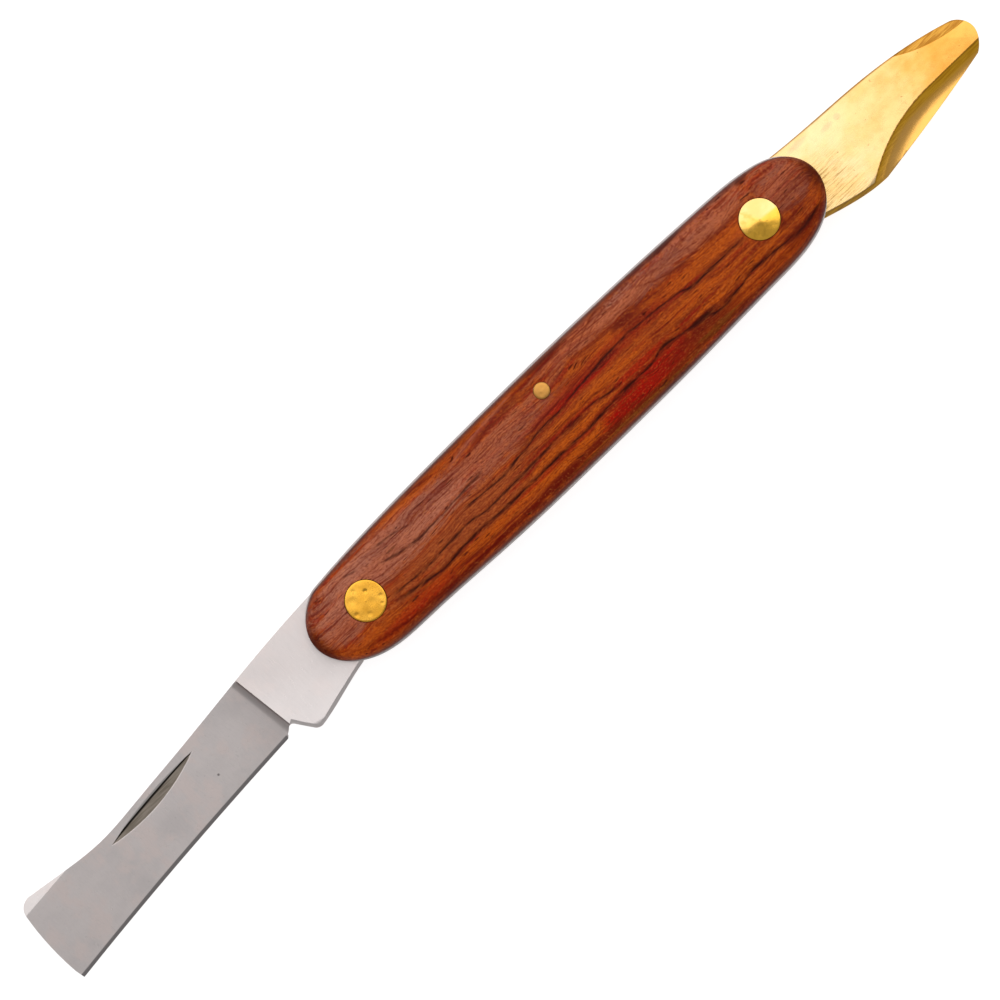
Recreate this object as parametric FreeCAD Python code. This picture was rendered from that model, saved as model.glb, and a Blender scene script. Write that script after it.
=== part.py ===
import FreeCAD, Part
import math
import os

# Two-ended folding grafting knife, open, lying on its rear scale. Millimetres.
# +X runs to the bark lifter, +Y to the spine, +Z out of the front face.
# The origin is on the rear face, midway between the two pivots.

# ---- layers from the rear face to the front face ----
SCALE_THICKNESS = 3.9
LINER_THICKNESS = 1.0
WELL_WIDTH = 3.2
SIDE_PLAY = 0.05

REAR_LINER_Z = SCALE_THICKNESS
WELL_Z = REAR_LINER_Z + LINER_THICKNESS
FRONT_LINER_Z = WELL_Z + WELL_WIDTH
FRONT_SCALE_Z = FRONT_LINER_Z + LINER_THICKNESS
FRONT_Z = FRONT_SCALE_Z + SCALE_THICKNESS
TANG_Z = WELL_Z + SIDE_PLAY
TANG_THICKNESS = WELL_WIDTH - 2 * SIDE_PLAY
TANG_TOP_Z = TANG_Z + TANG_THICKNESS

# ---- pivots and pins ----
PIVOT_X = 41.55
PIN_X = -0.24
PIN_Y = 4.3
PIN_RADIUS = 1.32
HEAD_RADIUS = 3.25
HEAD_THICKNESS = 0.95
HEAD_GAP = 0.07
REAR_HEAD_RECESS = 0.05
TUBE_RADIUS = 1.7
SHANK_RADIUS = 1.0
SLIP_FIT = 0.02
RUNNING_FIT = 0.05

# ---- handle ----
SCALE_WIDTH_FACTOR = 0.962
CROWN_RADIUS = 42.0
CROWN_Y = -0.5
SCALE_EDGE_RADIUS = 1.9
REAR_FLAT_DEPTH = 0.35

# ---- spring and tangs ----
SPRING_END_X = 47.2
SPRING_INNER_Y = 4.85
SPRING_RUN_Y = 5.6
SPRING_LOBE_Y = 1.7
TANG_FLAT = 4.8
TANG_FLAT_HALF = 2.2
BLADE_CLOSED_DEG = 169.0
LIFTER_CLOSED_DEG = 168.5

# ---- blade ----
EDGE_HEEL = (-64.85, -6.86)
EDGE_TIP = (-112.5, -11.35)
BLADE_STOCK = 1.5
EDGE_STOCK = 0.3
BEVEL_RISE = 0.094
PLUNGE_RADIUS = 1.3
MICRO_BEVEL_WIDTH = 0.46
MICRO_BEVEL_DEPTH = 0.25
KICK_CHAMFER = 0.6
NICK_MIDDLE = (-86.1, 1.1)
NICK_TURN_DEG = 5.6
NICK_HALF_LENGTH = 9.6
NICK_DEPTH = 0.45
NICK_STEEP_WIDTH = 0.7
NICK_SHALLOW_WIDTH = 1.4

# ---- bark lifter ----
LIFTER_STOCK = 1.4
LIFTER_RELIEF_RADIUS = 10.6
SCOOP_BEND_RADIUS = 28.0
# each scoop: where its bend ends, the height of its border, and its bar's radius and height
OUTER_SCOOP = (74.0, -3.25, 6.0, 5.55)
INNER_SCOOP = (75.0, -3.5, 4.0, 3.2)
TIP_BEVEL_BEND = 25.0
TIP_BEVEL_RADIUS = 5.0
TIP_BEVEL_HEIGHT = 4.55
CHAMFER = 0.4
BELLY_BEVEL_WIDTH = 0.75

# ---- paths that the grinding wheels follow, with the metal on the left ----
EDGE_PATH = [(-114.5, -11.57), EDGE_TIP, (-96.0, -9.44), (-80.5, -8.02),
             EDGE_HEEL, (-63.2, -6.75)]
KICK_PATH = [(-62.85, -5.3), (-62.45, -5.92), (-60.75, -8.35), (-60.2, -8.87),
             (-59.4, -9.03), (-57.3, -8.62), (-54.0, -7.77), (-48.4, -6.4), (-46.0, -5.8)]
BELLY_PATH = [(47.5, -6.35), (49.2, -6.85), (54.0, -8.16), (58.0, -8.86), (60.4, -8.98),
              (62.5, -8.8)]


def vec(x, y, z=0.0):
    return FreeCAD.Vector(x, y, z)


def line(a, b):
    return Part.makeLine(vec(*a), vec(*b))


def arc(a, middle, b):
    return Part.Arc(vec(*a), vec(*middle), vec(*b)).toShape()


def curve(*points):
    spline = Part.BSplineCurve()
    spline.interpolate([vec(*p) for p in points])
    return spline.toShape()


def plate(edges, z, thickness):
    """A flat plate whose outline is the closed chain of edges."""
    face = Part.Face(Part.Wire(edges))
    face.translate(vec(0, 0, z))
    return face.extrude(vec(0, 0, thickness))


def rod(x, y, radius, z0, z1):
    return Part.makeCylinder(radius, z1 - z0, vec(x, y, z0))


def save(name, shape):
    shape.exportStep(os.path.join("parts", name + ".step"))


def handle_outline(width_factor):
    """The handle's rounded outline. The factor narrows it across, not along."""
    points = [
        (-46.0, 6.88), (-37, 7.62), (-21, 8.2), (0, 8.46), (21, 8.24),
        (37, 7.68), (46.0, 6.75), (50.0, 5.2), (52.3, 2.6), (53.0, -0.4),
        (52.2, -3.5), (50.0, -6.05), (46.5, -7.75), (37, -8.78), (20, -9.28),
        (0, -9.45), (-20, -9.2), (-36, -8.56), (-45.0, -7.7), (-48.6, -5.95),
        (-51.0, -3.4), (-52.0, -0.3), (-51.6, 2.2), (-50.3, 4.3), (-48.5, 5.85),
    ]
    outline = Part.BSplineCurve()
    scaled = [vec(x, y * width_factor) for x, y in points]
    outline.interpolate(scaled, PeriodicFlag=True)
    return [outline.toShape()]


def handle_holes(z0, z1, pivot_radius):
    holes = [rod(x, 0, pivot_radius, z0, z1) for x in (-PIVOT_X, PIVOT_X)]
    holes.append(rod(PIN_X, PIN_Y, PIN_RADIUS + SLIP_FIT, z0, z1))
    return holes


def liner(z):
    """A spring-steel side plate, to the full outline."""
    body = plate(handle_outline(1.0), z, LINER_THICKNESS)
    holes = handle_holes(z - 1, z + LINER_THICKNESS + 1, TUBE_RADIUS + SLIP_FIT)
    return body.cut(holes)


def crowned_block():
    """A bar along X whose top is a gentle arch, as high as a scale is thick."""
    apex = SCALE_THICKNESS
    half = 12.0
    sag = CROWN_RADIUS - math.sqrt(CROWN_RADIUS ** 2 - half ** 2)
    left, right = CROWN_Y - half, CROWN_Y + half
    edges = [
        line((-60, left, -1), (-60, left, apex - sag)),
        arc((-60, left, apex - sag), (-60, CROWN_Y, apex), (-60, right, apex - sag)),
        line((-60, right, apex - sag), (-60, right, -1)),
        line((-60, right, -1), (-60, left, -1)),
    ]
    return Part.Face(Part.Wire(edges)).extrude(vec(120, 0, 0))


def scale_blank():
    """A rosewood scale lying on Z=0, with a crowned face and a rounded rim."""
    blank = plate(handle_outline(SCALE_WIDTH_FACTOR), 0, SCALE_THICKNESS + 1)
    blank = blank.common(crowned_block())
    crown = max(blank.Faces, key=lambda face: face.CenterOfMass.z)
    return blank.makeFillet(SCALE_EDGE_RADIUS, crown.Edges)


def scale_holes(z0, z1, seat_z0, seat_z1):
    """Through holes for the tubes and the pin, and a seat for each rivet head."""
    seats = [
        rod(x, 0, HEAD_RADIUS + HEAD_GAP, seat_z0, seat_z1)
        for x in (-PIVOT_X, PIVOT_X)
    ]
    return handle_holes(z0, z1, TUBE_RADIUS + SLIP_FIT) + seats


def front_scale():
    body = scale_blank()
    body.translate(vec(0, 0, FRONT_SCALE_Z))
    seat = FRONT_Z - HEAD_THICKNESS
    return body.cut(scale_holes(FRONT_SCALE_Z - 1, FRONT_Z + 1, seat, FRONT_Z + 1))


def rear_scale():
    """The same scale turned over, its crown dressed flat where the knife rests."""
    body = scale_blank()
    body = body.mirror(vec(0, 0, 0), vec(0, 0, 1))
    body.translate(vec(0, 0, SCALE_THICKNESS - REAR_FLAT_DEPTH))
    top = plate(handle_outline(SCALE_WIDTH_FACTOR), REAR_LINER_Z - REAR_FLAT_DEPTH - 0.01,
                REAR_FLAT_DEPTH + 0.01)
    body = body.fuse(top).removeSplitter()
    body = body.cut(Part.makeBox(120, 30, 2, vec(-60, -15, -2)))
    seat = REAR_HEAD_RECESS + HEAD_THICKNESS
    return body.cut(scale_holes(-1, REAR_LINER_Z + 1, -1, seat))


def back_spring():
    """One bar for both tools: stiff ends, thin runs and a lobe around its pin."""
    right = [
        (9.0, SPRING_RUN_Y - 0.5), (14.0, SPRING_RUN_Y), (28.0, SPRING_RUN_Y),
        (31.5, 5.45), (35.0, SPRING_INNER_Y),
    ]
    left = [(-x, y) for x, y in reversed(right)]
    lobe = [(-5.0, 2.6), (0, SPRING_LOBE_Y), (5.0, 2.6)]
    inner = left + lobe + right
    start = (-SPRING_END_X, SPRING_INNER_Y)
    end = (SPRING_END_X, SPRING_INNER_Y)
    top_left, top_right = (-SPRING_END_X, 12), (SPRING_END_X, 12)
    region = [
        line(start, inner[0]), curve(*inner), line(inner[-1], end),
        line(end, top_right), line(top_right, top_left), line(top_left, start),
    ]
    thickness = WELL_WIDTH - 2 * SLIP_FIT
    body = plate(region, WELL_Z + SLIP_FIT, thickness)
    body = body.common(plate(handle_outline(1.0), WELL_Z, WELL_WIDTH))
    return body.cut(rod(PIN_X, PIN_Y, PIN_RADIUS + SLIP_FIT, WELL_Z - 1, FRONT_LINER_Z + 1))


def tang_edges(pivot_x, closed_deg, shoulder, belly, side):
    """The hidden end of a tool, from its shoulder round the pivot to its belly.

    The flats are where the spring bears when the tool is open and closed. side is
    -1 for the blade's end and +1 for the lifter's.
    """
    corner = math.hypot(TANG_FLAT, TANG_FLAT_HALF)
    half_angle = math.atan2(TANG_FLAT_HALF, TANG_FLAT)
    closed_flat = math.pi / 2 - math.radians(closed_deg)

    def at(radius, angle):
        return (pivot_x - side * radius * math.cos(angle), radius * math.sin(angle))

    step = (shoulder[0], TANG_FLAT)
    open_corner = at(corner, math.pi / 2 - half_angle)
    heel = at(corner, (math.pi / 2 + closed_flat) / 2)
    closed_corner = at(corner, closed_flat + half_angle)
    along = 7.2
    closed_end = at(math.hypot(TANG_FLAT, along), closed_flat - math.atan2(along, TANG_FLAT))
    return [
        line(shoulder, step),
        line(step, open_corner),
        arc(open_corner, heel, closed_corner),
        line(closed_corner, closed_end),
        line(closed_end, belly),
    ]


def blade_outline():
    shoulder = (-SPRING_END_X - 0.05, 6.62)
    spine_end = (-110.0, 3.35)
    tip_top = (-112.4, 1.3)
    tip_low = (-112.8, -9.7)
    choil_side = (-63.75, -5.88)
    choil_out = (-62.45, -5.92)
    kick_side = (-60.75, -8.35)
    kick = (-59.4, -9.03)
    belly = (-48.4, -6.4)
    return [
        curve(shoulder, (-64.6, 5.07), (-77.7, 3.51), (-88.0, 2.42), (-96.5, 1.76),
              (-103.5, 2.42), spine_end),
        arc(spine_end, (-111.7, 2.75), tip_top),
        arc(tip_top, (-112.95, -4.8), tip_low),
        line(tip_low, EDGE_TIP),
        curve(EDGE_TIP, (-96.0, -9.44), (-80.5, -8.02), EDGE_HEEL),
        line(EDGE_HEEL, choil_side),
        arc(choil_side, (-63.05, -5.55), choil_out),
        line(choil_out, kick_side),
        arc(kick_side, (-60.2, -8.87), kick),
        curve(kick, (-57.3, -8.62), (-54.0, -7.77), belly),
    ], shoulder, belly


def face_height(point, edge_z, rise):
    """Height of a ground face that rises from the edge towards the spine."""
    run = vec(*EDGE_TIP) - vec(*EDGE_HEEL)
    inward = vec(run.y, -run.x)
    inward.normalize()
    return edge_z + rise * inward.dot(point - vec(*EDGE_HEEL))


def plunge_cutter(edge_z, rise):
    """Removes the stock in front of a ground face, ending in a hollow at the plunge."""
    top = vec(-64.4, 5.6)
    foot = vec(-62.95, -5.6)
    top.z = face_height(top, edge_z, rise)
    foot.z = face_height(foot, edge_z, rise)
    across = foot - top
    start = top - across * 0.5
    along = vec(-1, across.x / across.y)
    along.normalize()
    climb = face_height(along, edge_z, rise) - face_height(vec(0, 0), edge_z, rise)

    def at(distance, height):
        return start + along * distance + vec(0, 0, height + climb * distance)

    r = PLUNGE_RADIUS
    dip = r * (1 - math.sqrt(0.5))
    hollow = Part.Arc(at(0, r), at(dip, dip), at(r, 0)).toShape()
    edges = [
        Part.makeLine(at(0, 6), at(0, r)),
        hollow,
        Part.makeLine(at(r, 0), at(60, 0)),
        Part.makeLine(at(60, 0), at(60, 6)),
        Part.makeLine(at(60, 6), at(0, 6)),
    ]
    return Part.Face(Part.Wire(edges)).extrude(across * 2.2)


def nick_cutter(face_z):
    """A vee-rimmed grinding wheel, which cuts the crescent nail nick.

    Its rim is steep towards the spine and shallow towards the edge.
    """
    deep = 4 * NICK_DEPTH
    above, below = 4 * NICK_STEEP_WIDTH, 4 * NICK_SHALLOW_WIDTH
    section = [
        line((0, 0, 0), (0, above, deep)),
        line((0, above, deep), (0, -below, deep)),
        line((0, -below, deep), (0, 0, 0)),
    ]
    rim_radius = NICK_HALF_LENGTH ** 2 / (2 * NICK_DEPTH)
    hub = vec(0, 0, rim_radius)
    wheel = Part.Face(Part.Wire(section)).revolve(hub, vec(0, 1, 0), 360)
    origin = vec(0, 0, 0)
    wheel.rotate(origin, vec(1, 0, 0), math.degrees(math.atan(BEVEL_RISE)))
    wheel.rotate(origin, vec(0, 0, 1), NICK_TURN_DEG)
    wheel.translate(vec(*NICK_MIDDLE, face_z - NICK_DEPTH))
    return wheel


def swept_cutter(points, section):
    """A bar of constant section that follows a flat path.

    The section's corners are (distance to the left of the path, height).
    """
    path = Part.Wire([curve(*points)])
    edge = path.Edges[0]
    start = edge.valueAt(edge.FirstParameter)
    ahead = edge.tangentAt(edge.FirstParameter)
    left = vec(-ahead.y, ahead.x, 0)
    corners = [start + left * inward + vec(0, 0, height) for inward, height in section]
    profile = Part.makePolygon(corners + corners[:1])
    sweep = Part.BRepOffsetAPI.MakePipeShell(path)
    sweep.setBiNormalMode(vec(0, 0, 1))
    sweep.add(profile, False, False)
    sweep.build()
    sweep.makeSolid()
    return sweep.shape()


def bevel_section(z, width, depth, up):
    """A triangle whose long side is the bevel. up is +1 on a front face, -1 on a rear."""
    slope = depth / width
    return [
        (width + 2, z + up * 2 * slope),
        (-2, z - up * (depth + 2 * slope)),
        (-2, z + up * 2 * slope),
    ]


def blade():
    outline, shoulder, belly = blade_outline()
    tang = tang_edges(-PIVOT_X, BLADE_CLOSED_DEG, shoulder, belly, -1)
    body = plate(outline + tang, TANG_Z, TANG_THICKNESS)
    for z, up in ((TANG_TOP_Z, 1), (TANG_Z, -1)):
        body = body.cut(swept_cutter(KICK_PATH, bevel_section(z, KICK_CHAMFER, CHAMFER, up)))
    edge_z = TANG_Z + EDGE_STOCK
    body = body.cut(plunge_cutter(TANG_Z + BLADE_STOCK, 0))
    body = body.cut(plunge_cutter(edge_z, BEVEL_RISE))
    micro_bevel = bevel_section(edge_z, MICRO_BEVEL_WIDTH, MICRO_BEVEL_DEPTH, 1)
    body = body.cut(swept_cutter(EDGE_PATH, micro_bevel))
    body = body.cut(nick_cutter(face_height(vec(*NICK_MIDDLE), edge_z, BEVEL_RISE)))
    return body.cut(rod(-PIVOT_X, 0, TUBE_RADIUS + RUNNING_FIT, 0, FRONT_Z))


def lifter_outline():
    shoulder = (SPRING_END_X + 0.05, 5.92)
    tip_top = (83.6, 1.55)
    tip_low = (83.4, -4.95)
    kick = (60.4, -8.98)
    belly = (49.2, -6.85)
    return [
        curve(shoulder, (57.0, 5.11), (68.0, 4.46), (75.3, 3.51), tip_top),
        curve(tip_top, (84.9, 0.55), (85.65, -1.5), (85.1, -3.2), tip_low),
        curve(tip_low, (75.3, -6.55), (66.0, -8.12), kick),
        curve(kick, (58.0, -8.86), (54.0, -8.16), belly),
    ], shoulder, belly


def ring_cutter(line_radius, centre, radius, height):
    """A ring of round bar, which grinds a hollow with a curved border.

    The border on the front face is a circle of line_radius about the centre.
    """
    reach = math.sqrt(radius ** 2 - height ** 2)
    middle = vec(centre[0], centre[1], TANG_TOP_Z + height)
    return Part.makeTorus(line_radius - reach, radius, middle)


def scoop_cutter(bend_x, line_y, radius, height):
    """A hollow along the lower edge: curved from the kick, then straight to the tip."""
    centre = (bend_x, line_y - SCOOP_BEND_RADIUS)
    ring = ring_cutter(SCOOP_BEND_RADIUS, centre, radius, height)
    bend = ring.common(Part.makeBox(60, 60, 20, vec(bend_x - 60, line_y - 40, 0)))
    reach = math.sqrt(radius ** 2 - height ** 2)
    start = vec(bend_x, line_y - reach, TANG_TOP_Z + height)
    straight = Part.makeCylinder(radius, 20, start, vec(1, 0, 0))
    return bend.fuse(straight)


def lifter_tip_bevel():
    """The shallow hollow on the upper side of the tip."""
    return ring_cutter(TIP_BEVEL_BEND, (86.5, TIP_BEVEL_BEND - 0.05), TIP_BEVEL_RADIUS,
                       TIP_BEVEL_HEIGHT)


def bark_lifter():
    outline, shoulder, belly = lifter_outline()
    tang = tang_edges(PIVOT_X, LIFTER_CLOSED_DEG, shoulder, belly, 1)
    body = plate(outline + tang, TANG_Z, TANG_THICKNESS)
    relief_top = TANG_TOP_Z - LIFTER_STOCK
    relief = Part.makeBox(60, 40, relief_top - TANG_Z + 1, vec(PIVOT_X, -20, TANG_Z - 1))
    relief = relief.cut(rod(PIVOT_X, 0, LIFTER_RELIEF_RADIUS, TANG_Z - 2, FRONT_Z))
    body = body.cut(relief)
    belly_bevel = bevel_section(TANG_TOP_Z, BELLY_BEVEL_WIDTH, CHAMFER, 1)
    body = body.cut(swept_cutter(BELLY_PATH, belly_bevel))
    body = body.cut(scoop_cutter(*OUTER_SCOOP))
    body = body.cut(scoop_cutter(*INNER_SCOOP))
    body = body.cut(lifter_tip_bevel())
    return body.cut(rod(PIVOT_X, 0, TUBE_RADIUS + RUNNING_FIT, 0, FRONT_Z))


def rivet_stud(x, dome):
    """The front half of a cutler's rivet: a head on a solid shank."""
    seat = FRONT_Z - HEAD_THICKNESS
    head = rod(x, 0, HEAD_RADIUS, seat, FRONT_Z)
    head = head.makeFillet(0.2, [e for e in head.Edges if e.BoundBox.ZMin > FRONT_Z - 0.01])
    ball_radius = (HEAD_RADIUS ** 2 + dome ** 2) / (2 * dome)
    ball = Part.makeSphere(ball_radius, vec(x, 0, FRONT_Z + dome - ball_radius))
    cap = ball.common(rod(x, 0, HEAD_RADIUS - 0.2, FRONT_Z - 0.1, FRONT_Z + dome))
    shank = rod(x, 0, SHANK_RADIUS, REAR_HEAD_RECESS + HEAD_THICKNESS, seat)
    return head.fuse([cap, shank]).removeSplitter()


def rivet_socket(x):
    """The rear half: a head with the tube that the tool turns on."""
    head_top = REAR_HEAD_RECESS + HEAD_THICKNESS
    head = rod(x, 0, HEAD_RADIUS, REAR_HEAD_RECESS, head_top)
    tube = rod(x, 0, TUBE_RADIUS, head_top, FRONT_Z - HEAD_THICKNESS - SLIP_FIT)
    bore = rod(x, 0, SHANK_RADIUS + SLIP_FIT, head_top - SLIP_FIT, FRONT_Z)
    return head.fuse(tube).removeSplitter().cut(bore)


def spring_pin():
    """A plain brass pin through everything, peened flush at both ends."""
    pin = rod(PIN_X, PIN_Y, PIN_RADIUS, REAR_HEAD_RECESS + 0.2, FRONT_Z - 0.1)
    rims = [e for e in pin.Edges if e.Curve.TypeId == "Part::GeomCircle"]
    return pin.makeChamfer(0.12, rims)


os.makedirs("parts", exist_ok=True)
save("rear_scale", rear_scale())
save("front_scale", front_scale())
save("rear_liner", liner(REAR_LINER_Z))
save("front_liner", liner(FRONT_LINER_Z))
save("back_spring", back_spring())
save("spring_pin", spring_pin())
save("blade", blade())
save("bark_lifter", bark_lifter())
save("blade_rivet_stud", rivet_stud(-PIVOT_X, 0.04))
save("blade_rivet_socket", rivet_socket(-PIVOT_X))
save("lifter_rivet_stud", rivet_stud(PIVOT_X, 0.3))
save("lifter_rivet_socket", rivet_socket(PIVOT_X))
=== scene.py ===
import math

import bmesh
import bpy
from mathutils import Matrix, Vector, kdtree, noise


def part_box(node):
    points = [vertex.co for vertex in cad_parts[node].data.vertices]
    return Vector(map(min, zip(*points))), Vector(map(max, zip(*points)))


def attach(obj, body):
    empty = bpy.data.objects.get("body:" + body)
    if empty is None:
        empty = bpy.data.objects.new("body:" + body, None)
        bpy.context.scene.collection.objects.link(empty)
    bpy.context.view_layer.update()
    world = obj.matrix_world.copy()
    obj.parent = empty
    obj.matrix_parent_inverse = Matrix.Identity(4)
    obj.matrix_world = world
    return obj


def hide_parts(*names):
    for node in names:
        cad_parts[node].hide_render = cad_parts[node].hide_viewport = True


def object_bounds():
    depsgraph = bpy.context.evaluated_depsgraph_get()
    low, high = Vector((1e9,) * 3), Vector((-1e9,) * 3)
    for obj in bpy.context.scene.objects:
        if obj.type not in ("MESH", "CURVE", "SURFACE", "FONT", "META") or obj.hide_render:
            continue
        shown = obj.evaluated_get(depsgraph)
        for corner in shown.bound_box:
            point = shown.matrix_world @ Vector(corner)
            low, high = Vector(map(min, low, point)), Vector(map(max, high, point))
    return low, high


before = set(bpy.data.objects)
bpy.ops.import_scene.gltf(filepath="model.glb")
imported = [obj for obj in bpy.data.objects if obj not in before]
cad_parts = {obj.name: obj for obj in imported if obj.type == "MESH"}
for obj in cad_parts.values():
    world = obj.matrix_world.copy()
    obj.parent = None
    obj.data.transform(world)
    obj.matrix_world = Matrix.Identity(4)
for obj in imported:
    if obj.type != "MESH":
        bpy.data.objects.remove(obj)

MM = 0.001
CAMERA_TURN = math.radians(44.1)
cad_low, cad_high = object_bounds()


# ---------------------------------------------------------------- node helpers
class Graph:
    """A node tree, with short calls that add nodes to it."""

    def __init__(self, tree):
        self.tree = tree

    def add(self, kind, sockets=(), **settings):
        node = self.tree.nodes.new("ShaderNode" + kind)
        for key, value in settings.items():
            setattr(node, key, value)
        for key, value in dict(sockets).items():
            self.plug(node.inputs[key], value)
        return node

    def plug(self, socket, value):
        if isinstance(value, bpy.types.NodeSocket):
            self.tree.links.new(value, socket)
        else:
            socket.default_value = value

    def math(self, operation, a, b=0.0, c=0.0):
        node = self.add("Math", {0: a, 1: b, 2: c}, operation=operation)
        return node.outputs[0]

    def mix(self, factor, a, b, blend="MIX"):
        node = self.add("Mix", data_type="RGBA", blend_type=blend, clamp_factor=True)
        self.plug(node.inputs[0], factor)
        self.plug(node.inputs[6], a)
        self.plug(node.inputs[7], b)
        return node.outputs[2]

    def place(self, scale=(1, 1, 1), turn=0.0, shift=(0, 0, 0)):
        """Position in the object's own frame, in millimetres, then scaled and turned."""
        spot = self.add("TexCoord").outputs["Object"]
        node = self.add("Mapping", {"Vector": spot}, vector_type="POINT")
        node.inputs["Scale"].default_value = [1000.0 * s for s in scale]
        node.inputs["Rotation"].default_value = (0, 0, turn)
        node.inputs["Location"].default_value = shift
        return node.outputs[0]

    def split(self, vector):
        return self.add("SeparateXYZ", {0: vector}).outputs

    def join(self, x, y, z):
        return self.add("CombineXYZ", {0: x, 1: y, 2: z}).outputs[0]

    def noise(self, vector, scale=1.0, detail=2.0, roughness=0.5, distortion=0.0):
        node = self.add("TexNoise", {
            "Vector": vector, "Scale": scale, "Detail": detail,
            "Roughness": roughness, "Distortion": distortion,
        })
        return node.outputs[0]

    def step(self, value, low, high):
        """0 below low, 1 above high, smooth in between."""
        node = self.add("MapRange", {0: value, 1: low, 2: high, 3: 0.0, 4: 1.0},
                        interpolation_type="SMOOTHSTEP")
        return node.outputs[0]


class Shader(Graph):
    """A Principled material."""

    def __init__(self, name):
        self.material = bpy.data.materials.new(name)
        self.material.use_nodes = True
        super().__init__(self.material.node_tree)
        self.bsdf = self.tree.nodes["Principled BSDF"]

    def set(self, **sockets):
        for key, value in sockets.items():
            self.plug(self.bsdf.inputs[key.replace("_", " ")], value)

    def bump(self, height, strength, distance):
        node = self.add("Bump", {"Height": height, "Strength": strength,
                                 "Distance": distance * MM})
        self.plug(self.bsdf.inputs["Normal"], node.outputs[0])


class Block(Graph):
    """A node group that several materials use many times."""

    def __init__(self, name, inputs, outputs):
        super().__init__(bpy.data.node_groups.new(name, "ShaderNodeTree"))
        for direction, sockets in (("INPUT", inputs), ("OUTPUT", outputs)):
            for socket in sockets:
                kind = "NodeSocketColor" if socket in ("Under", "Paint") else "NodeSocketFloat"
                self.tree.interface.new_socket(socket, in_out=direction, socket_type=kind)
        self.given = self.tree.nodes.new("NodeGroupInput").outputs
        self.result = self.tree.nodes.new("NodeGroupOutput").inputs

    def use(self, graph, **sockets):
        node = graph.add("Group", node_tree=self.tree)
        for key, value in sockets.items():
            graph.plug(node.inputs[key.replace("_", " ")], value)
        return node.outputs


def srgb(red, green, blue):
    """A colour in 0-255 screen values, as the linear values a shader takes."""
    def linear(value):
        value /= 255
        return value / 12.92 if value <= 0.04045 else ((value + 0.055) / 1.055) ** 2.4
    return (linear(red), linear(green), linear(blue))



# ---------------------------------------------------------------- rosewood
WOOD_GAIN = 1.36


def wood_tone(red, green, blue):
    """The paint that comes out as this screen colour under the studio light."""
    return (*(min(0.9, WOOD_GAIN * value) for value in srgb(red, green, blue)), 1.0)


BROWN = wood_tone(158, 68, 18)
ORANGE = wood_tone(180, 80, 10)
TAN = wood_tone(174, 98, 46)
RED = wood_tone(150, 6, 0)
WINE = wood_tone(88, 8, 2)
# painted sheen: a pale mauve that stands in for the light's broad reflection on the upper half of
# the crowned scales
MAUVE_SHEEN = wood_tone(170, 108, 86)
# painted sheen: a lighter rose tone for the upper middle of the scales, where the light's
# reflection falls
ROSE_SHEEN = wood_tone(176, 94, 58)
UMBER = wood_tone(98, 28, 6)
INK = wood_tone(46, 6, 2)
CHESTNUT = wood_tone(162, 80, 38)
RUST = wood_tone(142, 30, 4)
OLIVE = wood_tone(96, 58, 12)

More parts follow.
